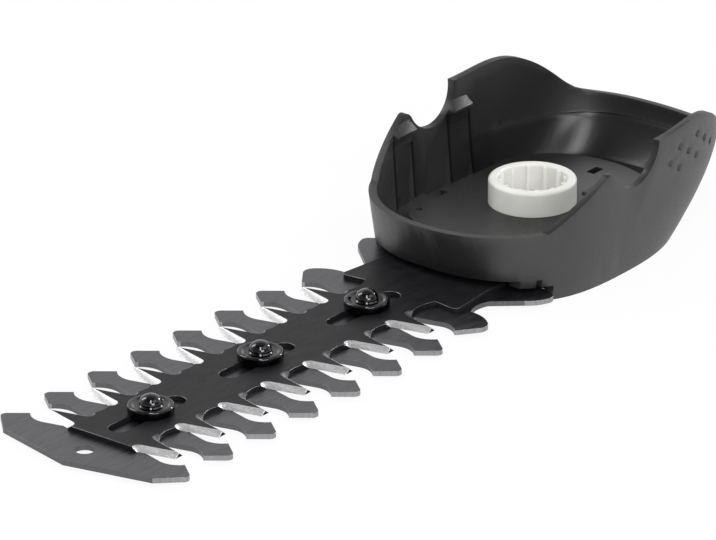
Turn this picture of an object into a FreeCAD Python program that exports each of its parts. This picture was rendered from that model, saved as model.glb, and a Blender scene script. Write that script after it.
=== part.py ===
import FreeCAD, Part
import math
import os

# Shrub shear blade: a toothed comb plate, a cutter plate that slides on it, and a plastic
# bowl with the splined drive ring. Millimetres. The origin is where the drive ring's axis
# meets the comb's underside, +X points to the blade's tip, +Z is up.

V = FreeCAD.Vector

# Toothed plates
pitch = 15.0
tooth_count = 7
comb_low = 0.0
rest_z = -1.1
comb_thick = 1.2
cutter_thick = 1.2
film = 0.05
comb_top = comb_low + comb_thick
cutter_low = comb_top + film
cutter_top = cutter_low + cutter_thick
washer_low = cutter_top + film
first_head_x = 159.1
tip_x = 169.9
tip_corner_x = 164.9
tip_corner_y = 21.8
head_half = 4.35
head_corner_y = 22.65
head_apex_y = 27.22
head_tip_half = 1.3
head_tip_y = 26.47
neck_half = 2.3
neck_y = 17.3
comb_root_half = 3.9
comb_root_y = 10.9
comb_gullet_y = 9.9
tab_y = 28.1
tab_front_x = 31.0
tab_rear_x = 26.2
tab_rear_y = 25.6
hanging_hole_r = 2.3
hanging_hole_x = 162.4

# Cutter teeth, each a little ahead of its gap's middle
stroke = pitch
cutter_lead = 1.0
tooth_tip_half = 1.4
tooth_tip_y = 19.2
tooth_root_half = 3.6
tooth_root_y = 10.4
cutter_gullet_y = 9.3
bevel_run = 1.5
cutter_front_x = 156.7
shoulder_front_x = 50.4

# Guide studs
stud_xs = [139.6, 101.0, 62.4]
stud_shank_r = 2.4
stud_foot_r = 1.8
stud_head_r = 2.55
stud_tail_r = 3.6
washer_r = 5.35
washer_thick = 2.1
slot_end_gap = 1.1
slot_ahead = 1.2
running_gap = 0.05

# Drive ring with its crank pin
crank_r = stroke / 2
ring_r = 10.5
ring_top = 15.0
ring_edge = 0.8
socket_r = 8.15
socket_lip = 0.6
socket_floor = 5.4
rib_count = 12
rib_height = 0.8
rib_width = 0.8
flange_r = 13.6
crank_pin_r = 2.0
roller_r = 3.2
constant_rate_gap = 0.2105 * crank_r
yoke_half = roller_r + constant_rate_gap + 0.15
yoke_reach = crank_r + roller_r + 0.4

# Housing bowl
bowl_mid_x = 8.0
bowl_half = 29.2
side_lean = 0.08
bowl_nose = 29.5
nose_lean = 0.32
stern_foot = 43.4
stern_rise = 15.6
stern_top = 21.0
wall = 1.85
floor_top = 5.0
floor_thick = 1.6
ledge_z = 13.8
ledge_step = 0.9
ledge_front_x = -18.0
cover_top = 8.9
cover_skin = 2.0
cover_to_wall = 6.25
cover_side_y = bowl_half - wall - cover_to_wall
cover_front_x = 27.8
cover_stern_x = -31.2
cover_corner_x = -16.7
cover_notch_x = 10.4
cover_notch_half = 2.2
cover_notch_y = cover_side_y - 2.2
cover_slot_x = -24.4
opening_top = 2.6
front_opening_x = 25.7
nose_opening_top = 4.5
nose_opening_x = 32.3
slit_x = 28.9
slit_width = 1.1
scallop = [(8.8, 25.6), (1.1, 20.7), (-7.5, 29.8)]
rim_peak = [(12.2, 26.35), (10.6, 26.8), (9.3, 26.1)]
rim_level = (28.0, 16.2)
rim_rear = [(-18.0, 30.4), (-27.5, 30.1), (-34.0, 27.3), (-39.0, 23.2), (-43.3, 19.4),
            (-46.0, 18.4), (-60.0, 18.1)]
hook_xs = [13.1, -8.3]
hook_width = 6.8
hook_top = 25.3
hook_tip_z = 23.3
hook_reach = 2.4
hook_block_low = 19.6
groove_width = 0.9
groove_depth = 0.8
dimple_start = (-16.9, 25.0)
dimple_step_down = (-4.1, -2.45)
dimple_step_across = (3.8, -3.1)
dimple_places = [(1, -1), (2, -1), (3, -1), (0, 0), (1, 0), (2, 0), (0, 1), (1, 1)]
dimple_r = 1.3
dimple_depth = 0.5
loft_top = rim_peak[1][1] + 7.2
screw_r = 1.45
screw_head_r = 2.7
boss_r = 3.4
boss_to_wall = 3.15
boss_to_cutter = 0.6
boss_y = bowl_half - wall - boss_to_wall - boss_r
rear_boss_y = boss_y + 0.6
front_screw_x = 22.0
rear_screw_x = -14.0
stern_screw_x = bowl_mid_x + 5.9 - stern_foot
screw_places = [(front_screw_x, boss_y), (front_screw_x, -boss_y), (rear_screw_x, rear_boss_y),
                (rear_screw_x, -rear_boss_y), (stern_screw_x, 0.0)]
shoulder_y = boss_y - boss_r - boss_to_cutter


def wire_from(start, steps, place):
    # Each step is an end point, or a point on the way and an end point for an arc.
    edges = []
    here = place(*start)
    for step in steps:
        there = place(*step[-2:])
        if len(step) == 4:
            edges.append(Part.Arc(here, place(*step[:2]), there).toShape())
        else:
            edges.append(Part.makeLine(here, there))
        here = there
    return Part.Wire(edges)


def mirrored(steps, start):
    # The same outline walked back on the other side of the centre line.
    ends = [start] + [step[-2:] for step in steps]
    back = []
    for i in range(len(steps) - 1, -1, -1):
        step = steps[i]
        end = (ends[i][0], -ends[i][1])
        if len(step) == 4:
            back.append((step[0], -step[1]) + end)
        else:
            back.append(end)
    return back


def plate(start, half_steps, z, thick):
    steps = half_steps + mirrored(half_steps, start)
    wire = wire_from(start, steps, lambda x, y: V(x, y, z))
    return Part.Face(wire).extrude(V(0, 0, thick))


def turned(start, steps, x=0.0):
    # A turned piece from its half section, given as radius and height.
    wire = wire_from(start, steps, lambda r, z: V(x + r, 0, z))
    return Part.Face(wire).revolve(V(x, 0, 0), V(0, 0, 1), 360)


def cylinder(r, z0, z1, x=0.0, y=0.0):
    return Part.makeCylinder(r, z1 - z0, V(x, y, z0))


def box(x0, x1, y0, y1, z0, z1):
    return Part.makeBox(x1 - x0, y1 - y0, z1 - z0, V(x0, y0, z0))


def on_both_sides(shape):
    return [shape, shape.mirror(V(0, 0, 0), V(0, 1, 0))]


def neck_and_head(x):
    # One comb tooth from its front root round the head to its rear root.
    return [
        (x + neck_half, neck_y),
        (x + neck_half + 0.45, neck_y + 3.3, x + head_half, head_corner_y),
        (x + head_tip_half, head_tip_y),
        (x, head_apex_y, x - head_tip_half, head_tip_y),
        (x - head_half, head_corner_y),
        (x - neck_half - 0.45, neck_y + 3.3, x - neck_half, neck_y),
        (x - comb_root_half, comb_root_y),
    ]


def comb_half():
    x = first_head_x
    steps = [(tip_corner_x, tip_corner_y), (x + head_tip_half, head_tip_y)]
    steps += neck_and_head(x)[3:]
    for i in range(1, tooth_count + 1):
        middle = x - pitch / 2
        x -= pitch
        steps.append((middle, comb_gullet_y, x + comb_root_half, comb_root_y))
        if i < tooth_count:
            steps += neck_and_head(x)
    steps += neck_and_head(x)[:2]
    steps += [
        (x - 0.4, head_tip_y - 0.3),
        (x - 2.6, head_tip_y + 0.2, x - 4.3, head_tip_y - 0.9),
        (x - 6.1, head_tip_y - 3.7, x - 6.8, shoulder_y + 1.9),
        (x - 10.3, shoulder_y + 0.8, x - 13.9, shoulder_y + 1.4),
        (tab_front_x + 3.6, tab_y - 3.5),
        (tab_front_x + 1.4, tab_y - 1.3, tab_front_x - 1.0, tab_y - 0.15),
        (tab_front_x - 2.4, tab_y, tab_rear_x + 1.0, tab_rear_y + 1.4),
        (tab_rear_x, tab_rear_y),
        (tab_rear_x, 0.0),
    ]
    return steps


def bowl_numbers(z):
    # Nose reach and power, stern reach and power, and half width at one height.
    height = z - rest_z
    rise = min(height / stern_top, 1.0)
    nose = bowl_nose + nose_lean * height
    stern = stern_foot + stern_rise * (1 - (1 - rise) ** 2)
    half = bowl_half + side_lean * height
    return nose, 2.55 - 0.35 * rise, stern, 2.66 + 0.5 * rise, half


def bowl_point(angle, z, inset, stern_step):
    # A rounded oblong, blunter at the nose than at the stern.
    nose, nose_power, stern, stern_power, half = bowl_numbers(z)
    c = math.cos(angle)
    s = math.sin(angle)
    reach = nose if c > 0 else stern - stern_step
    power = nose_power if c > 0 else stern_power
    x = bowl_mid_x + math.copysign(abs(c) ** (2 / power), c) * (reach - inset)
    y = math.copysign(abs(s) ** (2 / power), s) * (half - inset)
    return V(x, y, z)


def bowl_wire(z, inset, stern_step=0.0):
    count = 40
    angles = [2 * math.pi * (i + 0.5) / count for i in range(count)]
    points = [bowl_point(angle, z, inset, stern_step) for angle in angles]
    curve = Part.BSplineCurve()
    curve.interpolate(Points=points, PeriodicFlag=True)
    return Part.Wire([curve.toShape()])


def bowl_solid(heights, inset, stern_step=0.0):
    return Part.makeLoft([bowl_wire(z, inset, stern_step) for z in heights], True, False)


def side_wall_y(x, z):
    # How far the outer wall stands off the centre line behind the bowl's middle.
    stern, power, half = bowl_numbers(z)[2:]
    return half * (1 - abs((x - bowl_mid_x) / stern) ** power) ** (1 / power)


def comb_blade():
    start = (tip_x, 0.0)
    steps = comb_half()
    blade = plate(start, steps, comb_low, comb_thick)
    foot = Part.Face(bowl_wire(comb_low, wall + 0.3)).extrude(V(0, 0, comb_thick))
    foot = foot.common(box(-60, tab_rear_x + 0.001, -40, 40, -1, 9))
    blade = blade.fuse(foot).removeSplitter()
    cuts = [cylinder(hanging_hole_r, -1, 4, hanging_hole_x)]
    for x in stud_xs:
        cuts.append(cylinder(stud_foot_r, -1, 4, x))
    for x, y in screw_places:
        cuts.append(cylinder(screw_r + 0.1, -1, 4, x, y))
    return blade.cut(cuts)


def cutter_half():
    x = first_head_x - pitch / 2 + cutter_lead
    steps = [(cutter_front_x, tooth_root_y - 0.6), (x + tooth_root_half, tooth_root_y)]
    for i in range(tooth_count):
        steps.append((x + tooth_tip_half, tooth_tip_y))
        steps.append((x - tooth_tip_half, tooth_tip_y))
        steps.append((x - tooth_root_half, tooth_root_y))
        last = i == tooth_count - 1
        end = shoulder_front_x - 0.4 if last else x - pitch + tooth_root_half
        middle = (x - tooth_root_half + end) / 2
        steps.append((middle, cutter_gullet_y, end, tooth_root_y))
        x -= pitch
    rear = -yoke_half - 6.0
    steps += [
        (shoulder_front_x + 0.3, shoulder_y - 1.2),
        (shoulder_front_x - 0.1, shoulder_y - 0.1, shoulder_front_x - 1.6, shoulder_y + 0.2),
        (shoulder_front_x - 14.0, shoulder_y - 1.1),
        (rear + 5.0, shoulder_y - 1.1),
        (rear + 1.5, shoulder_y - 2.6, rear, shoulder_y - 6.0),
        (rear, 0.0),
    ]
    return steps


def bevel_tool(x, side):
    # A wedge that leaves the ground slope along one flank of a tooth, rounded at its root.
    z0 = cutter_low
    root = V(x + side * tooth_root_half, tooth_root_y, z0)
    tip = V(x + side * tooth_tip_half, tooth_tip_y, z0)
    along = (tip - root).normalize()
    out = V(along.y * side, -along.x * side, 0)
    grow = (cutter_thick + 1.0) / cutter_thick
    top_in = out * (-bevel_run * grow) + V(0, 0, cutter_thick + 1.0)
    high = V(0, 0, cutter_thick + 1.0)
    corners = [root, root + out * 3.0, root + out * 3.0 + high, root + top_in, root]
    face = Part.Face(Part.makePolygon(corners))
    wedge = face.extrude(along * (tooth_tip_y - tooth_root_y + 4.0))
    return wedge.fuse(Part.makeCone(0, bevel_run * grow, cutter_thick + 1.0, root))


def rounded_slot(x, half_length, r, z0, z1):
    straight = box(x - half_length + r, x + half_length - r, -r, r, z0, z1)
    ends = [cylinder(r, z0, z1, x + s * (half_length - r)) for s in (-1, 1)]
    return straight.fuse(ends).removeSplitter()


def cutter_blade():
    blade = plate((cutter_front_x, 0.0), cutter_half(), cutter_low, cutter_thick)
    cuts = []
    for i in range(tooth_count):
        x = first_head_x - pitch / 2 + cutter_lead - i * pitch
        for side in (-1, 1):
            cuts += on_both_sides(bevel_tool(x, side))
    slot_half = stroke / 2 + stud_shank_r + slot_end_gap + slot_ahead
    for x in stud_xs:
        place = x + slot_ahead
        cuts.append(rounded_slot(place, slot_half, stud_shank_r + running_gap, 0, 5))
    cuts.append(box(-yoke_half, yoke_half, -yoke_reach, yoke_reach, 0, 5))
    return blade.cut(cuts)


def guide_stud(x):
    # A shouldered rivet: flat tail below the comb, shoulder in the slot, domed head.
    top = washer_low + washer_thick
    tail = cylinder(stud_tail_r, rest_z, comb_low, x)
    foot = cylinder(stud_foot_r - 0.02, rest_z, comb_top, x)
    shank = cylinder(stud_shank_r, comb_top, washer_low, x)
    neck = cylinder(stud_foot_r - 0.02, washer_low, top, x)
    dome = Part.makeSphere(stud_head_r * 1.12, V(x, 0, top - 1.15))
    dome = dome.common(cylinder(stud_head_r, top, top + 4, x))
    return foot.fuse([tail, shank, neck, dome]).removeSplitter()


def stud_washer(x):
    # A thick washer with a shallow dish round the stud's head.
    low = washer_low
    top = low + washer_thick
    dish = top - 0.35
    steps = [(washer_r - 0.5, low), (washer_r, low + 0.5), (washer_r, top - 0.4)]
    steps += [(washer_r - 0.4, top), (washer_r - 0.9, top), (washer_r - 1.6, dish)]
    steps += [(stud_head_r + 0.3, dish), (stud_head_r, top), (stud_foot_r, top)]
    return turned((stud_foot_r, low), steps + [(stud_foot_r, low)], x)


def drive_ring():
    # A ring with rounded rims on a flange that turns under the cover.
    low = cutter_top + 0.2
    flange_top = cover_top - cover_skin - 0.3
    round_in = ring_edge * (1 - math.sqrt(0.5))
    lip_in = socket_lip * (1 - math.sqrt(0.5))
    steps = [(flange_r, low), (flange_r, flange_top), (ring_r, flange_top)]
    steps += [(ring_r, ring_top - ring_edge)]
    steps += [(ring_r - round_in, ring_top - round_in, ring_r - ring_edge, ring_top)]
    steps += [(socket_r + socket_lip, ring_top)]
    steps += [(socket_r + lip_in, ring_top - lip_in, socket_r, ring_top - socket_lip)]
    steps += [(socket_r, socket_floor), (0.0, socket_floor), (0.0, low)]
    body = turned((0.0, low), steps)
    ribs = []
    for i in range(rib_count):
        rib = box(socket_r - rib_height, socket_r + 0.5, -rib_width / 2, rib_width / 2,
                  socket_floor, ring_top - 0.3)
        rib.rotate(V(0, 0, 0), V(0, 0, 1), 360.0 * (i + 0.5) / rib_count)
        ribs.append(rib)
    body = body.fuse(ribs).removeSplitter()
    return body.cut(cylinder(crank_pin_r, 0, socket_floor + 2, 0, crank_r))


def crank_pin():
    low = comb_top + 0.15
    return cylinder(crank_pin_r - 0.01, low, socket_floor - 0.4, 0, crank_r)


def crank_roller():
    low = cutter_low
    ring = cylinder(roller_r, low, low + cutter_thick + 0.1, 0, crank_r)
    return ring.cut(cylinder(crank_pin_r + 0.03, 0, 9, 0, crank_r))


def rim_cutter():
    # Everything above the rim line, seen from the side.
    def at(x, z):
        return V(x, -50, z)
    front = (60, rim_level[1])
    steps = [front, rim_level, rim_peak[0], rim_peak[1] + rim_peak[2]]
    steps += [scallop[0], scallop[1] + scallop[2]]
    stern = Part.BSplineCurve()
    stern.interpolate([at(*scallop[2])] + [at(x, z) for x, z in rim_rear])
    back = wire_from(rim_rear[-1], [(-60, 50), (60, 50)], at)
    edges = wire_from((60, 50), steps, at).Edges + [stern.toShape()] + back.Edges
    return Part.Face(Part.Wire(edges)).extrude(V(0, 100, 0))


def hook(x):
    # A snap rib on the inner wall: a long slope on top, an undercut and a block below.
    half = bowl_half + side_lean * (hook_top - rest_z)
    y_wall = half - 0.3
    y_inner = half - wall
    y_tip = y_inner - hook_reach
    tip_low = hook_tip_z - 0.7
    points = [(y_wall, hook_block_low), (y_inner - 0.7, hook_block_low)]
    points += [(y_inner - 1.0, hook_block_low + 0.3), (y_inner - 1.0, tip_low)]
    points += [(y_tip, tip_low), (y_tip, hook_tip_z), (y_inner, hook_top), (y_wall, hook_top)]
    corners = [V(x - hook_width / 2, y, z) for y, z in points]
    face = Part.Face(Part.makePolygon(corners + [corners[0]]))
    return face.extrude(V(hook_width, 0, 0))


def hook_grooves(x):
    # Two upright grooves beside a snap rib, from the floor to its undercut.
    grooves = []
    for side in (-1, 1):
        middle = x + side * (hook_width / 2 + groove_width / 2)
        edge = groove_width / 2
        grooves.append(box(middle - edge, middle + edge, 18, 40, floor_top, hook_tip_z - 1.2))
    return grooves


def heights_between(low, high, shares):
    return [low + (high - low) * share for share in shares]


def stern_ledge():
    # The inner wall round the stern is thicker low down, which leaves a ledge.
    low = floor_top - floor_thick / 2
    block = bowl_solid(heights_between(low, ledge_z, (0.0, 0.3, 0.6, 1.0)), wall / 2)
    block = block.common(box(-70, ledge_front_x, -40, 40, 0, 40))
    heights = heights_between(low - 1.0, ledge_z + 1.0, (0.0, 0.3, 0.6, 1.0))
    return block.cut(bowl_solid(heights, wall, ledge_step))


def bowl_shell():
    outer = bowl_solid(heights_between(rest_z, loft_top, (0.0, 0.09, 0.2, 0.35, 0.6, 1.0)), 0.0)
    high = heights_between(floor_top, loft_top + 2.0, (0.0, 0.1, 0.23, 0.46, 1.0))
    skirt = bowl_solid([rest_z - 1.0, 0.0, floor_top - floor_thick], wall)
    shell = outer.cut([bowl_solid(high, wall), skirt])
    thin = bowl_solid(heights_between(floor_top, loft_top, (0.0, 0.3, 1.0)), wall - groove_depth)
    grooves = []
    extras = [stern_ledge()]
    for x in hook_xs:
        extras += [outer.common(one) for one in on_both_sides(hook(x))]
        for groove in hook_grooves(x):
            grooves += on_both_sides(groove)
    return shell.cut([thin.common(groove) for groove in grooves]).fuse(extras)


def cover_steps():
    # Half the outline of the raised cover over the drive, from its nose to its stern.
    side = cover_side_y
    notch_front = cover_notch_x + cover_notch_half
    notch_rear = cover_notch_x - cover_notch_half
    stern = cover_stern_x
    return [
        (cover_front_x, side - 8.1),
        (cover_front_x - 2.1, side - 4.3),
        (cover_front_x - 9.2, side + 1.3),
        (notch_front, side + 2.0),
        (notch_front, cover_notch_y),
        (notch_rear, cover_notch_y),
        (notch_rear, side),
        (cover_corner_x, side),
        (stern + 5.4, side - 5.4, stern + 1.3, side - 12.9),
        (stern + 0.3, side - 17.0, stern, 0.0),
    ]


def drive_cover(shell):
    # A raised cover with the ring's bearing hole, hollow below for the ring's flange.
    low = floor_top - floor_thick
    cover = plate((cover_front_x, 0.0), cover_steps(), low, cover_top - low)
    hollow = cylinder(cover_side_y - 2.6, 0, cover_top - cover_skin)
    slot = box(cover_slot_x - 2.0, cover_slot_x + 2.0, -1.1, 1.1, 0, cover_top + 1)
    hole = cylinder(ring_r + running_gap, 0, cover_top + 1)
    return shell.fuse(cover).cut([hollow, slot, hole])


def dimples():
    # Shallow round dimples in slanting rows on the outer wall near the stern.
    balls = []
    for down, across in dimple_places:
        x = dimple_start[0] + down * dimple_step_down[0] + across * dimple_step_across[0]
        z = dimple_start[1] + down * dimple_step_down[1] + across * dimple_step_across[1]
        y = side_wall_y(x, z) + dimple_r - dimple_depth
        balls += on_both_sides(Part.makeSphere(dimple_r, V(x, y, z)))
    return balls


def housing():
    shell = drive_cover(bowl_shell())
    shell = shell.fuse([cylinder(boss_r, comb_top, floor_top, x, y) for x, y in screw_places])
    cuts = [rim_cutter()]
    cuts.append(box(front_opening_x, 60, -40, 40, -2, opening_top))
    cuts.append(box(nose_opening_x, 60, -40, 40, -2, nose_opening_top))
    slit = box(slit_x - slit_width / 2, slit_x + slit_width / 2, 20, 40, 0, nose_opening_top)
    cuts += on_both_sides(slit)
    for x, y in screw_places:
        cuts.append(cylinder(screw_r + 0.05, -1, floor_top - 0.8, x, y))
    cuts.append(cylinder(0.8, 0, cover_top + 1, 20.8, -17.7))
    return shell.cut(cuts + dimples())


def screw(x, y):
    # A low pan-head screw through the comb into its boss.
    shank = cylinder(screw_r, comb_low, floor_top - 1.0, x, y)
    head = cylinder(screw_head_r, rest_z, comb_low, x, y)
    slot = box(x - 1.6, x + 1.6, y - 0.35, y + 0.35, -2, rest_z + 0.7)
    cross = box(x - 0.35, x + 0.35, y - 1.6, y + 1.6, -2, rest_z + 0.7)
    return head.fuse(shank).cut([slot, cross])


def nodes():
    made = {"comb_blade": comb_blade(), "cutter_blade": cutter_blade(), "housing": housing(),
            "drive_ring": drive_ring(), "crank_pin": crank_pin(),
            "crank_roller": crank_roller()}
    for i, x in enumerate(stud_xs):
        made["guide_stud_%d" % (i + 1)] = guide_stud(x)
        made["stud_washer_%d" % (i + 1)] = stud_washer(x)
    for i, (x, y) in enumerate(screw_places):
        made["housing_screw_%d" % (i + 1)] = screw(x, y)
    return made


os.makedirs("parts", exist_ok=True)
for name, shape in nodes().items():
    shape.exportStep("parts/%s.step" % name)
    print(name, len(shape.Solids), shape.isValid(), round(shape.Volume, 1))
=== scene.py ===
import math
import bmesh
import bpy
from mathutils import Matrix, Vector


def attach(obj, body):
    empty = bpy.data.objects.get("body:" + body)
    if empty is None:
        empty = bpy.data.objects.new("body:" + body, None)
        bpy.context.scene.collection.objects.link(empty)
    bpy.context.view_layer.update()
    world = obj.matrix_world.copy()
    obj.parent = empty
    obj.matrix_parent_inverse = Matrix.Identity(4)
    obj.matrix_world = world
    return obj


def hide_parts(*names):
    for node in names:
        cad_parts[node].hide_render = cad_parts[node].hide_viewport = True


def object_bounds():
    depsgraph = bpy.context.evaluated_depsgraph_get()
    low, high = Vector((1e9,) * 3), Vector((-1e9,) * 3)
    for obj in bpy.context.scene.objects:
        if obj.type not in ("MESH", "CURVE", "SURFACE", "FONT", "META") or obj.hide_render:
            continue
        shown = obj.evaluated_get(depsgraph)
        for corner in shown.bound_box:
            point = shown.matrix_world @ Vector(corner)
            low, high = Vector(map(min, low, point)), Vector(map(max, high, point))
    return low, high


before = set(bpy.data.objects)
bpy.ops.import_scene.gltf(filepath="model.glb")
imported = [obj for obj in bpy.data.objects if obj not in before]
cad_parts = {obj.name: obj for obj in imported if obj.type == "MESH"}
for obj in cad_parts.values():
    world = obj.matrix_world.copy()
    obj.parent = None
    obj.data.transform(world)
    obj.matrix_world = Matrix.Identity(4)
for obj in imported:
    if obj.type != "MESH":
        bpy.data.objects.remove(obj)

# %% [markdown]
# # A shear blade with its plastic bowl
#
# The object is a spare blade for a small hand-held shrub shear. A flat steel comb stands still,
# a black cutter slides on it, three domed studs hold the two together, and a black plastic bowl
# at the rear holds a white splined ring that drives the cutter. The model that was just loaded
# gives every size and place. This lesson gives the surfaces and the small rounded edges that
# make them look like steel, plastic and nylon.

MM = 0.001
cad_low, cad_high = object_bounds()
print("loaded model, mm:", [round((b - a) / MM, 1) for a, b in zip(cad_low, cad_high)])

# %% [markdown]
# ## The camera
#
# The photograph looks at the blade from the tip's left and a little from above, from far away
# through a long lens. The camera could be placed by eye, but its direction was worked out from
# the evenly spaced teeth, so it is given by an azimuth, an elevation and a distance from one
# point on the plate. A long lens keeps the far teeth nearly as large as the near ones.

# %% Camera
VIEW_AZIMUTH = 128.84
VIEW_ELEVATION = 22.85
VIEW_DISTANCE = 1.8731
VIEW_AIM = Vector((0.04218, -0.01889, 0.0))
LENS_MM = 402.2
SENSOR_MM = 36.0


def direction_from(azimuth, elevation):
    """The unit vector from the object to a viewer or a lamp at those angles in degrees."""
    a, e = math.radians(azimuth), math.radians(elevation)
    return Vector((math.sin(a) * math.cos(e), -math.cos(a) * math.cos(e), math.sin(e)))


camera_data = bpy.data.cameras.new("camera")
camera_data.lens = LENS_MM
camera_data.sensor_width = SENSOR_MM
camera_data.clip_start, camera_data.clip_end = 0.1, 20.0
camera = bpy.data.objects.new("camera", camera_data)
bpy.context.scene.collection.objects.link(camera)
towards_viewer = direction_from(VIEW_AZIMUTH, VIEW_ELEVATION)
camera.location = VIEW_AIM + towards_viewer * VIEW_DISTANCE
camera.rotation_mode = "QUATERNION"
camera.rotation_quaternion = (-towards_viewer).to_track_quat("-Z", "Y")
bpy.context.scene.camera = camera
print("camera at", [round(c, 3) for c in camera.location])

# %% [markdown]
# ## Colours and nodes
#
# Colours are written as the hex values that a paint program shows, and one function turns them
# into the linear values that light is worked out in. One more function adds a node with its
# settings and its links, so that each material reads as a short list.

# %% Helpers for colours and nodes
def srgb(code):
    """A #rrggbb colour as linear red, green, blue and alpha."""
    parts = [int(code[i:i + 2], 16) / 255 for i in (1, 3, 5)]
    return (*[p / 12.92 if p <= 0.04045 else ((p + 0.055) / 1.055) ** 2.4 for p in parts], 1.0)


def add_node(tree, kind, links=None, **settings):
    """Adds a node. settings are its own properties, links its sockets' values or sources."""
    node = tree.nodes.new(kind)
    for name, value in settings.items():
        setattr(node, name, value)
    for socket, value in (links or {}).items():
        if isinstance(value, bpy.types.NodeSocket):
            tree.links.new(value, node.inputs[socket])
        else:
            node.inputs[socket].default_value = value
    return node


def new_material(name, **values):
    """A material with one Principled shader, whose plain sockets are set by name."""
    material = bpy.data.materials.new(name)
    material.use_nodes = True
    surface = material.node_tree.nodes["Principled BSDF"]
    for socket, value in values.items():
        surface.inputs[socket.replace("_", " ")].default_value = value
    return material, material.node_tree, surface


print("black, grey and white:", [srgb(code)[0] for code in ("#000000", "#808080", "#ffffff")])

# %% [markdown]
# ## Patterns
#
# Every finish here varies a little, and a noise pattern on Object coordinates does that for
# all of them. Its size is given in millimetres. On a piece that was rolled, punched or ground
# in one direction the pattern is drawn out along it. The same pattern drives the colour, the
# roughness and the height, because on the real surface one mark causes all three.

# %% Helpers for patterns
NOISE_LOW, NOISE_HIGH = 0.3, 0.7    # most of a noise pattern's values lie between these


def stretched(tree, along, times):
    """Object coordinates squeezed on one axis, so that a pattern is drawn out along it."""
    place = add_node(tree, "ShaderNodeTexCoord").outputs["Object"]
    scale = [1.0, 1.0, 1.0]
    scale["XYZ".index(along)] = 1.0 / times
    return add_node(tree, "ShaderNodeMapping", {"Vector": place, "Scale": scale}).outputs[0]


def noise(tree, place, size_mm, detail=4.0):
    """A noise pattern whose blotches are about that many millimetres across."""
    return add_node(tree, "ShaderNodeTexNoise", {
        "Vector": place, "Scale": 1.0 / (size_mm * MM), "Detail": detail,
    }).outputs["Fac"]


def between(tree, value, low, high):
    """A noise pattern spread over the range from low to high."""
    return add_node(tree, "ShaderNodeMapRange", {
        "Value": value, "From Min": NOISE_LOW, "From Max": NOISE_HIGH,
        "To Min": low, "To Max": high,
    }).outputs[0]


def two_tone(tree, value, dark, light):
    """A colour between two hex colours, as a pattern says."""
    node = add_node(tree, "ShaderNodeMix", {"Factor": between(tree, value, 0.0, 1.0)},
                    data_type="RGBA")
    node.inputs[6].default_value, node.inputs[7].default_value = srgb(dark), srgb(light)
    return node.outputs[2]


def relief(tree, surface, height, depth_mm):
    """Raises and lowers the surface by a pattern, depth_mm from its lowest to its highest."""
    bump = add_node(tree, "ShaderNodeBump", {"Height": height, "Distance": depth_mm * MM})
    tree.links.new(bump.outputs["Normal"], surface.inputs["Normal"])


# %% [markdown]
# ## Rolled sheet and its punched edges
#
# The comb is punched from hardened cold-rolled sheet. Its faces are a dull mid grey with a faint
# grain along the rolling direction, so their noise is drawn out along the blade. The punched
# edges have short upright streaks where the punch tore through. Along the flanks they are as
# grey as the sheet. At the ends of the heads the same edge is made brighter as a painted
# highlight, so there are two of them.

# %% Rolled and punched steel
def rolled_steel():
    """Cold-rolled sheet with its grain along the blade."""
    material, tree, surface = new_material("cold_rolled_steel", Metallic=1.0)
    grain = noise(tree, stretched(tree, "X", 12), size_mm=0.5, detail=6.0)
    tree.links.new(two_tone(tree, grain, "#525254", "#6c6c70"), surface.inputs["Base Color"])
    tree.links.new(between(tree, grain, 0.38, 0.5), surface.inputs["Roughness"])
    relief(tree, surface, grain, depth_mm=0.004)
    return material


def punched_steel(name, dark, light):
    """A punched edge with upright streaks."""
    material, tree, surface = new_material(name, Metallic=1.0)
    streaks = noise(tree, stretched(tree, "Z", 6), size_mm=0.35, detail=5.0)
    tree.links.new(two_tone(tree, streaks, dark, light), surface.inputs["Base Color"])
    tree.links.new(between(tree, streaks, 0.4, 0.52), surface.inputs["Roughness"])
    relief(tree, surface, streaks, depth_mm=0.008)
    return material


ROLLED = rolled_steel()
FLANK = punched_steel("punched_steel_flank", "#626264", "#707072")
# A brighter copy of the punched edge: a painted highlight for the ends of the heads.
PUNCHED_HIGHLIGHT = punched_steel("punched_steel_end_painted_highlight", "#8e8e8f", "#a8a8aa")
print("comb finishes:", [m.name for m in (ROLLED, FLANK, PUNCHED_HIGHLIGHT)])

# %% [markdown]
# ## Black coating, ground bevels, worn edges and painted shade
#
# The cutter is coated black all over, and its flanks were ground afterwards, so bare bright
# steel shows there with fine grinding lines across the blade. The coating is a film and no bare
# metal, so it is a dark plain surface with a weak shine. Where it is rubbed thin, on the narrow
# edges, steel shows through, and that finish is nearly a metal again. The same grey finish is
# also laid on a few small ground faces as painted shade. The metals keep the default IOR and
# differ in colour and roughness.

# %% Coated, ground and worn steel
def coated_steel():
    """A dull black coating with a faint mottle."""
    material, tree, surface = new_material("black_coated_steel", IOR=1.5,
                                           Specular_IOR_Level=0.1)
    mottle = noise(tree, stretched(tree, "X", 3), size_mm=1.6, detail=6.0)
    tree.links.new(two_tone(tree, mottle, "#1b1b1d", "#222224"), surface.inputs["Base Color"])
    tree.links.new(between(tree, mottle, 0.36, 0.5), surface.inputs["Roughness"])
    relief(tree, surface, mottle, depth_mm=0.004)
    return material


def ground_steel():
    """Bare steel with grinding lines, drawn coarser than real ones so that they show."""
    material, tree, surface = new_material("ground_bare_steel", Metallic=1.0)
    lines = noise(tree, stretched(tree, "Y", 3), size_mm=0.22, detail=5.0)
    tree.links.new(two_tone(tree, lines, "#d2d2d2", "#f0f0f0"), surface.inputs["Base Color"])
    tree.links.new(between(tree, lines, 0.34, 0.46), surface.inputs["Roughness"])
    relief(tree, surface, lines, depth_mm=0.003)
    return material


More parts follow.
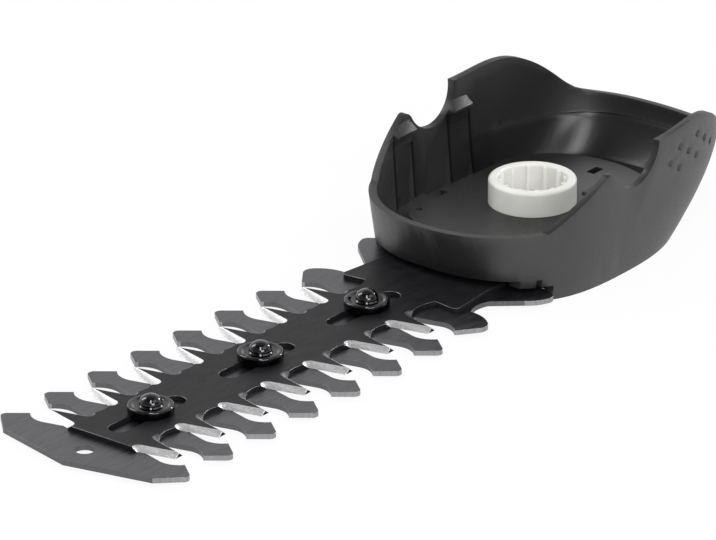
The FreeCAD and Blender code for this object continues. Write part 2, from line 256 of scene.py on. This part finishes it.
def worn_and_shade_steel():
    """Coating rubbed down to the steel, also used as painted shade on small ground faces."""
    material, tree, surface = new_material("worn_edge_and_painted_shade", Metallic=0.9)
    wear = noise(tree, stretched(tree, "X", 2), size_mm=0.9, detail=6.0)
    tree.links.new(two_tone(tree, wear, "#545456", "#848486"), surface.inputs["Base Color"])
    tree.links.new(between(tree, wear, 0.42, 0.56), surface.inputs["Roughness"])
    return material


# The worn finish serves both as real wear on edges and as painted shade on small ground faces.
COATED, GROUND, WORN_AND_SHADE = coated_steel(), ground_steel(), worn_and_shade_steel()
print("cutter finishes:", [m.name for m in (COATED, GROUND, WORN_AND_SHADE)])

# %% [markdown]
# ## Blackened and plated fasteners
#
# The studs and washers are turned from steel, blackened and oiled. The film is so thin that
# they still mirror like a metal: the polished heads sharply, the washers in a softer way. The
# screws and the crank parts are zinc plated, which is a pale, slightly cloudy metal.

# %% Blackened and zinc-plated steel
def blackened_steel(name, dark, light, smooth, rough):
    """Blackened and oiled steel, between a smooth and a rough value."""
    material, tree, surface = new_material(name, Metallic=1.0)
    film = noise(tree, stretched(tree, "Z", 1), size_mm=0.9)
    tree.links.new(two_tone(tree, film, dark, light), surface.inputs["Base Color"])
    tree.links.new(between(tree, film, smooth, rough), surface.inputs["Roughness"])
    relief(tree, surface, film, depth_mm=0.002)
    return material


def zinc_steel():
    """Bright zinc plating with a slight cloud."""
    material, tree, surface = new_material("zinc_plated_steel", Metallic=1.0)
    film = noise(tree, stretched(tree, "Z", 1), size_mm=0.8)
    tree.links.new(two_tone(tree, film, "#a4a6a8", "#c0c1c2"), surface.inputs["Base Color"])
    tree.links.new(between(tree, film, 0.28, 0.42), surface.inputs["Roughness"])
    return material


HEAD = blackened_steel("blackened_polished_steel", "#404042", "#4c4c4e", smooth=0.06, rough=0.1)
SATIN = blackened_steel("blackened_turned_steel", "#29292a", "#343435", smooth=0.2, rough=0.28)
ZINC = zinc_steel()
print("fastener finishes:", [m.name for m in (HEAD, SATIN, ZINC)])

# %% [markdown]
# ## Moulded plastics
#
# The bowl is injection-moulded black ABS with a fine spark-eroded texture, which scatters the
# light and hides small scratches. Its grit is finer than a pixel and is drawn as coarse as it
# needs to show. Inside, below the step in the stern, the mould was polished, because the
# shear's foot slides in there, so the inner finish turns smooth by its place in the bowl. The
# ring is natural white nylon. Light enters it a little way and comes out again, which is what
# makes nylon look soft, so it gets some subsurface light.

# %% Plastic materials
STEP_HEIGHT, STEP_BLUR = 13.8 * MM, 0.3 * MM
ROUGH_TO_X, SMOOTH_FROM_X = -4 * MM, -14 * MM


def smooth_stern(tree, place):
    """One in the stern below the step, nought elsewhere."""
    where = add_node(tree, "ShaderNodeSeparateXYZ", {0: place}).outputs
    back = add_node(tree, "ShaderNodeMapRange", {
        "Value": where["X"], "From Min": ROUGH_TO_X, "From Max": SMOOTH_FROM_X}).outputs[0]
    below = add_node(tree, "ShaderNodeMapRange", {
        "Value": where["Z"], "From Min": STEP_HEIGHT + STEP_BLUR,
        "From Max": STEP_HEIGHT}).outputs[0]
    return add_node(tree, "ShaderNodeMath", {0: back, 1: below}, operation="MULTIPLY").outputs[0]


def black_abs(name, shine, polished):
    """Textured black plastic, which may turn smooth in the stern."""
    material, tree, surface = new_material(name, IOR=1.53, Specular_IOR_Level=shine)
    place = stretched(tree, "Z", 1)
    cloud = noise(tree, place, size_mm=9.0)
    tree.links.new(two_tone(tree, cloud, "#19191a", "#1f1f20"), surface.inputs["Base Color"])
    grit = noise(tree, place, size_mm=0.35, detail=2.0)
    rough = between(tree, grit, 0.4, 0.52)
    relief(tree, surface, grit, depth_mm=0.015)
    if polished:
        share = smooth_stern(tree, place)
        rough = add_node(tree, "ShaderNodeMix", {0: share, 2: rough, 3: 0.28}).outputs[0]
    tree.links.new(rough, surface.inputs["Roughness"])
    return material


def white_nylon():
    """Unpainted nylon that lets light in by a few millimetres."""
    material, tree, surface = new_material(
        "natural_nylon", IOR=1.53, Roughness=0.38, Subsurface_Weight=0.6,
        Subsurface_Radius=(1.0, 0.95, 0.9), Subsurface_Scale=2.5 * MM)
    cloud = noise(tree, stretched(tree, "Z", 1), size_mm=6.0)
    tree.links.new(two_tone(tree, cloud, "#dededa", "#e7e7e3"), surface.inputs["Base Color"])
    return material


ABS = black_abs("textured_black_abs", shine=0.8, polished=False)
INSIDE = black_abs("inner_black_abs", shine=0.45, polished=True)
NYLON = white_nylon()
print("plastics:", [m.name for m in (ABS, INSIDE, NYLON)])

# %% [markdown]
# ## Rounding the edges of a loaded shape
#
# A stamped plate or a moulding never has a perfectly sharp edge, and the thin line of light on
# that edge is half of what tells the eye its size. The loaded shapes have the right form, so
# each one is copied, its split corners are merged, its flat faces are joined, and every sharp
# edge is bevelled by a fraction of a millimetre. Large level faces are shaded flat, because
# their many corners would draw streaks of light across them.

# %% Helpers for loaded shapes
WELD = 0.002 * MM
SAME_PLANE = math.radians(0.4)
LEVEL = 0.9995


def merged_copy(node):
    """The node's shape as one closed mesh with its flat faces joined."""
    work = bmesh.new()
    work.from_mesh(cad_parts[node].data)
    bmesh.ops.remove_doubles(work, verts=work.verts, dist=WELD)
    bmesh.ops.dissolve_limit(work, angle_limit=SAME_PLANE, verts=work.verts,
                             edges=work.edges, delimit={"NORMAL"})
    return work


def round_edges(work, width_mm, sharper_than, segments=1):
    """Bevels the edges that turn by more than an angle in degrees, and gives the new faces."""
    limit = math.radians(sharper_than)
    edges = [e for e in work.edges if e.is_manifold and e.calc_face_angle() > limit]
    return bmesh.ops.bevel(work, geom=edges, offset=width_mm * MM, offset_type="OFFSET",
                           segments=segments, profile=0.5, affect="EDGES",
                           clamp_overlap=True, material=-1)["faces"]


def finish_piece(work, name, body, materials, smooth_below=30.0):
    """Turns the worked shape into an object that rides on a body."""
    mesh = bpy.data.meshes.new(name)
    work.to_mesh(mesh)
    work.free()
    for material in materials:
        mesh.materials.append(material)
    mesh.shade_smooth()
    mesh.set_sharp_from_angle(angle=math.radians(smooth_below))
    for face in mesh.polygons:
        face.use_smooth = abs(face.normal.z) < LEVEL
    piece = bpy.data.objects.new(name, mesh)
    bpy.context.scene.collection.objects.link(piece)
    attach(piece, body)
    print(name, len(mesh.polygons), "faces")
    return piece


# %% [markdown]
# ## The comb
#
# The comb is one stamping. Its edges get a bevel of a tenth of a millimetre, about what a
# deburring drum leaves. What lies flat is rolled sheet, what stands is punched edge, and the
# edges far out on the arrow heads get the brighter one, a painted highlight.

# %% Comb plate
FLAT_FROM, HIGHLIGHT_FROM_Y = 0.9, 22.2 * MM
work = merged_copy("comb_blade")
round_edges(work, width_mm=0.12, sharper_than=40)
# Edges far out on the heads get the brighter punched edge as a painted highlight.
for face in work.faces:
    if abs(face.normal.z) > FLAT_FROM:
        face.material_index = 0
    else:
        face.material_index = 2 if abs(face.calc_center_median().y) > HIGHLIGHT_FROM_Y else 1
comb_plate = finish_piece(work, "comb_plate", "base", [ROLLED, FLANK, PUNCHED_HIGHLIGHT])
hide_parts("comb_blade")

# %% [markdown]
# ## The cutter
#
# The cutter's flanks slope, so the slope of a face tells ground steel from coating. At its root
# each flank runs out in a small cone, where the grinding wheel left the plate. The cones and
# the other small faces beside the flanks that face the bowl are ground steel as well, but they
# get the darker worn finish as painted shade. The narrow bevel on an edge is bright where it
# borders on ground steel, and worn everywhere else, because a coating is thinnest on an edge.

# %% Cutter plate
SLOPED_FROM = 0.2
FLANK_AREA = 5 * MM * MM
work = merged_copy("cutter_blade")
for face in work.faces:
    face.material_index = 1 if SLOPED_FROM < face.normal.z < FLAT_FROM else 0
ground_faces = [face for face in work.faces if face.material_index == 1]
flanks = [face for face in ground_faces if face.calc_area() > FLANK_AREA]
for face in ground_faces:
    middle = face.calc_center_median()
    flank = min(flanks, key=lambda other: (other.calc_center_median() - middle).length)
    # Small ground faces beside a flank that faces the bowl get the darker worn finish as painted
    # shade.
    if face.calc_area() < FLANK_AREA and flank.normal.x < 0:
        face.material_index = 2
rounded = set(round_edges(work, width_mm=0.09, sharper_than=25))
for face in rounded:
    beside = {other for edge in face.edges for other in edge.link_faces} - rounded
    face.material_index = 1 if 1 in {other.material_index for other in beside} else 2
cutter_plate = finish_piece(work, "cutter_plate", "cutter",
                            [COATED, GROUND, WORN_AND_SHADE])
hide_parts("cutter_blade")

# %% [markdown]
# ## The bowl
#
# The bowl is moulded in one piece, and its rims are rounded by two tenths, as a mould maker
# rounds an edge that a hand will touch. Its outside is textured. Walls that face the middle,
# the floor and whatever else faces up get the inner finish, which is duller, and smooth only in
# the stern.

# %% Bowl
BOWL_MIDDLE = Vector((0.003, 0.0))
WALL_BELOW, UPWARD_FROM, FLOOR_FROM = 0.93, 0.5, 4 * MM
work = merged_copy("housing")
round_edges(work, width_mm=0.2, sharper_than=40, segments=2)
for face in work.faces:
    middle = face.calc_center_median()
    facing_in = face.normal.xy.dot(middle.xy - BOWL_MIDDLE) < 0
    inner_wall = facing_in and abs(face.normal.z) < WALL_BELOW
    inner_floor = face.normal.z > UPWARD_FROM and middle.z > FLOOR_FROM
    face.material_index = 1 if inner_wall or inner_floor else 0
bowl = finish_piece(work, "bowl", "base", [ABS, INSIDE], smooth_below=28.0)
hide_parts("housing")

# %% [markdown]
# ## The drive ring
#
# The ring is moulded in natural nylon, with twelve ribs standing in its socket. The loaded
# shape has its rounded rims already, so only the edges that are still sharp, such as those of
# the ribs, are eased by a tenth of a millimetre.

# %% Drive ring
work = merged_copy("drive_ring")
round_edges(work, width_mm=0.1, sharper_than=50, segments=2)
ring = finish_piece(work, "nylon_ring", "drive", [NYLON], smooth_below=35.0)
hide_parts("drive_ring")

# %% [markdown]
# ## Studs
#
# A stud is a turned part, so it is an outline spun round its own axis: a riveted foot under
# the comb, a shoulder that the cutter's slot runs along, and a button head. Ninety-six steps
# keep the small bright reflections on the heads round. A sphere would be quicker for the head,
# but the real one is a little flatter than half a ball.

# %% Helpers for turned parts
def spun(outline, closed, turns=96):
    """An outline of radii and heights in millimetres, spun round the upright axis."""
    work = bmesh.new()
    corners = [work.verts.new((r * MM, 0.0, z * MM)) for r, z in outline]
    pairs = list(zip(corners, corners[1:]))
    if closed:
        pairs.append((corners[-1], corners[0]))
    sides = [work.edges.new(pair) for pair in pairs]
    bmesh.ops.spin(work, geom=corners + sides, cent=(0, 0, 0), axis=(0, 0, 1),
                   angle=math.tau, steps=turns, use_merge=True)
    bmesh.ops.remove_doubles(work, verts=work.verts, dist=WELD)
    bmesh.ops.recalc_face_normals(work, faces=work.faces)
    return work


def quarter(centre, radius, height, steps):
    """Points from the side of a rounding to its top, radii and heights in millimetres."""
    turns = [math.radians(90 * i / steps) for i in range(steps + 1)]
    return [(centre[0] + radius * math.cos(t), centre[1] + height * math.sin(t)) for t in turns]


def middle_of(node):
    """The middle of a loaded node in its own plan, as an x and a y."""
    places = [v.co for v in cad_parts[node].data.vertices]
    return [(min(p[i] for p in places) + max(p[i] for p in places)) / 2 for i in (0, 1)]


# %% Guide studs
FOOT_LOW, FOOT_TOP, FOOT_RADIUS, FOOT_EASE = -1.1, 0.0, 3.6, 0.2
RIVET_RADIUS, SHOULDER_RADIUS = 1.78, 2.4
COMB_TOP, WASHER_LOW, WASHER_TOP = 1.2, 2.5, 4.6
HEAD_RADIUS, HEAD_HEIGHT, HEAD_LIFT, HEAD_EASE = 2.7, 2.2, 0.1, 0.08
stud_outline = [(0.0, FOOT_LOW), (FOOT_RADIUS - FOOT_EASE, FOOT_LOW),
                (FOOT_RADIUS, FOOT_LOW + FOOT_EASE), (FOOT_RADIUS, FOOT_TOP - FOOT_EASE / 2),
                (FOOT_RADIUS - FOOT_EASE / 2, FOOT_TOP), (RIVET_RADIUS, FOOT_TOP),
                (RIVET_RADIUS, COMB_TOP), (SHOULDER_RADIUS, COMB_TOP),
                (SHOULDER_RADIUS, WASHER_LOW), (RIVET_RADIUS, WASHER_LOW),
                (RIVET_RADIUS, WASHER_TOP), (HEAD_RADIUS - HEAD_EASE, WASHER_TOP)]
stud_outline += quarter((0.0, WASHER_TOP + HEAD_LIFT), HEAD_RADIUS, HEAD_HEIGHT, steps=18)
for number in (1, 2, 3):
    node = "guide_stud_%d" % number
    work = spun(stud_outline, closed=False)
    bmesh.ops.translate(work, verts=work.verts, vec=(*middle_of(node), 0))
    stud = finish_piece(work, "button_head_stud_%d" % number, "base", [HEAD])
    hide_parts(node)

# %% [markdown]
# ## Washers
#
# A thick washer is turned too, with a rounded rim and a shallow dish round the seat of the
# head. Its level faces keep the soft turned finish. The rim and the slopes of the dish are
# where the lamps are seen as thin arcs, so they get the polished finish of the heads.

# %% Washers
BORE, SEAT, RIM = 1.8, 2.55, 5.35
RIM_ROUND, UNDER_EASE = 0.45, 0.5
DISH_LIP, DISH_FOOT, LIP_DROP, DISH_DEPTH, SEAT_SLOPE = 1.2, 1.6, 0.1, 0.35, 0.3
SLOPES = (0.1, 0.97)
washer_outline = [(BORE, WASHER_LOW), (RIM - UNDER_EASE, WASHER_LOW),
                  (RIM - 0.2 * UNDER_EASE, WASHER_LOW + 0.4 * UNDER_EASE),
                  (RIM, WASHER_LOW + UNDER_EASE)]
washer_outline += quarter((RIM - RIM_ROUND, WASHER_TOP - RIM_ROUND), RIM_ROUND, RIM_ROUND,
                          steps=8)
washer_outline += [(RIM - 2 * RIM_ROUND, WASHER_TOP), (RIM - DISH_LIP, WASHER_TOP - LIP_DROP),
                   (RIM - DISH_FOOT, WASHER_TOP - DISH_DEPTH),
                   (SEAT + SEAT_SLOPE, WASHER_TOP - DISH_DEPTH),
                   (SEAT, WASHER_TOP), (BORE, WASHER_TOP)]
for number in (1, 2, 3):
    node = "stud_washer_%d" % number
    work = spun(washer_outline, closed=True)
    bmesh.ops.translate(work, verts=work.verts, vec=(*middle_of(node), 0))
    for face in work.faces:
        face.material_index = 1 if SLOPES[0] < face.normal.z < SLOPES[1] else 0
    washer = finish_piece(work, "thick_washer_%d" % number, "base",
                          [SATIN, HEAD])
    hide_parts(node)

# %% [markdown]
# ## Screws, crank pin and roller
#
# These sit under the comb or inside the bowl. The screws are zinc plated, and their heads'
# edges are eased. The pin and the roller stay as loaded and get the same bright plating.

# %% Screws and the loaded small parts
for number in range(1, 6):
    node = "housing_screw_%d" % number
    work = merged_copy(node)
    round_edges(work, width_mm=0.15, sharper_than=50, segments=2)
    pan_head = finish_piece(work, "pan_head_screw_%d" % number, "base", [ZINC])
    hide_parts(node)
for name in ("crank_pin", "crank_roller"):
    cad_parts[name].data.materials[0] = ZINC
print("screws, pin and roller have their plating")

# %% [markdown]
# ## The floor
#
# The photograph is a studio shot on pure white. The floor shows white to the camera and in
# reflections through Light Path, so no lamp has to burn it out, and a small share of plain
# paper in it still takes a faint shadow. It lies just under the blade, and it is clear from
# below, so that the underside can be looked at too.

# %% Floor
GLOW_SHARE = 0.93
FLOOR_GAP = 0.02 * MM
FLOOR_HALF = 3.0


def seen_directly(tree, path):
    """One for the camera, for reflections and for light through glass, nought for the rest."""
    either = add_node(tree, "ShaderNodeMath", {0: path["Is Camera Ray"], 1: path["Is Glossy Ray"]},
                      operation="MAXIMUM").outputs[0]
    return add_node(tree, "ShaderNodeMath", {0: either, 1: path["Is Transmission Ray"]},
                    operation="MAXIMUM").outputs[0]


def white_ground():
    """White to the eye and in gloss, with a part that takes the shadow; clear from below."""
    material = bpy.data.materials.new("white_paper")
    material.use_nodes = True
    tree = material.node_tree
    tree.nodes.clear()
    seen = seen_directly(tree, add_node(tree, "ShaderNodeLightPath").outputs)
    share = add_node(tree, "ShaderNodeMath", {0: seen, 1: GLOW_SHARE},
                     operation="MULTIPLY").outputs[0]
    lit = add_node(tree, "ShaderNodeBsdfDiffuse", {"Color": srgb("#f6f6f6")}).outputs[0]
    glow = add_node(tree, "ShaderNodeEmission", {"Color": srgb("#ffffff"), "Strength": 1.0})
    paper = add_node(tree, "ShaderNodeMixShader", {0: share, 1: lit, 2: glow.outputs[0]})
    below = add_node(tree, "ShaderNodeNewGeometry").outputs["Backfacing"]
    clear = add_node(tree, "ShaderNodeBsdfTransparent").outputs[0]
    mix = add_node(tree, "ShaderNodeMixShader", {0: below, 1: paper.outputs[0], 2: clear})
    add_node(tree, "ShaderNodeOutputMaterial", {"Surface": mix.outputs[0]})
    return material


work = bmesh.new()
bmesh.ops.create_grid(work, x_segments=1, y_segments=1, size=FLOOR_HALF)
bmesh.ops.translate(work, verts=work.verts, vec=(0, 0, cad_low.z - FLOOR_GAP))
floor_mesh = bpy.data.meshes.new("floor")
work.to_mesh(floor_mesh)
work.free()
floor_mesh.materials.append(white_ground())
floor = bpy.data.objects.new("floor", floor_mesh)
bpy.context.scene.collection.objects.link(floor)
print("floor at", round((cad_low.z - FLOOR_GAP) / MM, 2), "mm")

# %% [markdown]
# ## The surroundings
#
# To the camera the surroundings are white. In reflections the white stands behind the object
# and falls off overhead and on the camera's side, as it does in a studio with one white sweep,
# which is what keeps black plastic black. Matt surfaces get one even, weaker level.

# %% Surroundings
AMBIENT, CEILING, ROOM = 0.45, 0.3, 0.25
SWEEP_TOP, CEILING_FROM = 0.62, 0.9
ROOM_TO, SWEEP_FROM = -0.25, 0.3
world = bpy.data.worlds.new("studio")
bpy.context.scene.world = world
world.use_nodes = True
tree = world.node_tree
tree.nodes.clear()
path = add_node(tree, "ShaderNodeLightPath").outputs
seen = seen_directly(tree, path)
towards = add_node(tree, "ShaderNodeTexCoord").outputs["Generated"]
height = add_node(tree, "ShaderNodeSeparateXYZ", {0: towards}).outputs["Z"]
overhead = add_node(tree, "ShaderNodeMapRange", {
    "Value": height, "From Min": SWEEP_TOP, "From Max": CEILING_FROM,
    "To Min": 1.0, "To Max": CEILING}, interpolation_type="SMOOTHSTEP").outputs[0]
away = add_node(tree, "ShaderNodeVectorMath", {
    0: towards, 1: direction_from(VIEW_AZIMUTH + 180, 0)}, operation="DOT_PRODUCT")
behind = add_node(tree, "ShaderNodeMapRange", {
    "Value": away.outputs["Value"], "From Min": ROOM_TO, "From Max": SWEEP_FROM,
    "To Min": ROOM, "To Max": 1.0}, interpolation_type="SMOOTHSTEP").outputs[0]
sweep = add_node(tree, "ShaderNodeMath", {0: overhead, 1: behind},
                 operation="MULTIPLY").outputs[0]
sweep = add_node(tree, "ShaderNodeMath", {0: sweep, 1: path["Is Camera Ray"]},
                 operation="MAXIMUM").outputs[0]
level = add_node(tree, "ShaderNodeMix", {0: seen, 2: AMBIENT, 3: sweep}).outputs[0]
glow = add_node(tree, "ShaderNodeBackground", {"Color": srgb("#ffffff"), "Strength": level})
add_node(tree, "ShaderNodeOutputWorld", {"Surface": glow.outputs[0]})
print("surroundings:", world.name, len(tree.nodes), "nodes")

# %% [markdown]
# ## The lamps
#
# Five lamps light the object: a tall soft box behind it on the left, a small one behind it on
# the right, a strip above the camera that reaches into the bowl, a broad fill beside the camera
# and a large soft one high on the right. The places of the first two were read from the bright
# spots on the studs' heads, and the others were set until each surface had its grey.

# %% Lamps
LAMP_DISTANCE = 1.5


def soft_lamp(name, azimuth, elevation, width, height, power):
    """A rectangle of light at those angles, aimed at the middle of the object."""
    data = bpy.data.lights.new(name, "AREA")
    data.shape = "RECTANGLE"
    data.size, data.size_y = width, height
    data.energy = power
    lamp = bpy.data.objects.new(name, data)
    towards = direction_from(azimuth, elevation)
    lamp.location = VIEW_AIM + towards * LAMP_DISTANCE
    lamp.rotation_mode = "QUATERNION"
    lamp.rotation_quaternion = (-towards).to_track_quat("-Z", "Y")
    bpy.context.scene.collection.objects.link(lamp)
    print(name, power, "W")


soft_lamp("left_soft_box", azimuth=14, elevation=38, width=0.4, height=0.9, power=6.5)
soft_lamp("right_soft_box", azimuth=255, elevation=25, width=0.2, height=0.25, power=5.5)
soft_lamp("strip_lamp", azimuth=VIEW_AZIMUTH, elevation=50, width=0.3, height=1.0, power=7.5)
soft_lamp("fill_lamp", azimuth=150, elevation=20, width=0.7, height=0.5, power=7.5)
soft_lamp("top_lamp", azimuth=185, elevation=50, width=0.9, height=0.7, power=2.5)

bpy.context.scene.view_settings.view_transform = "Standard"
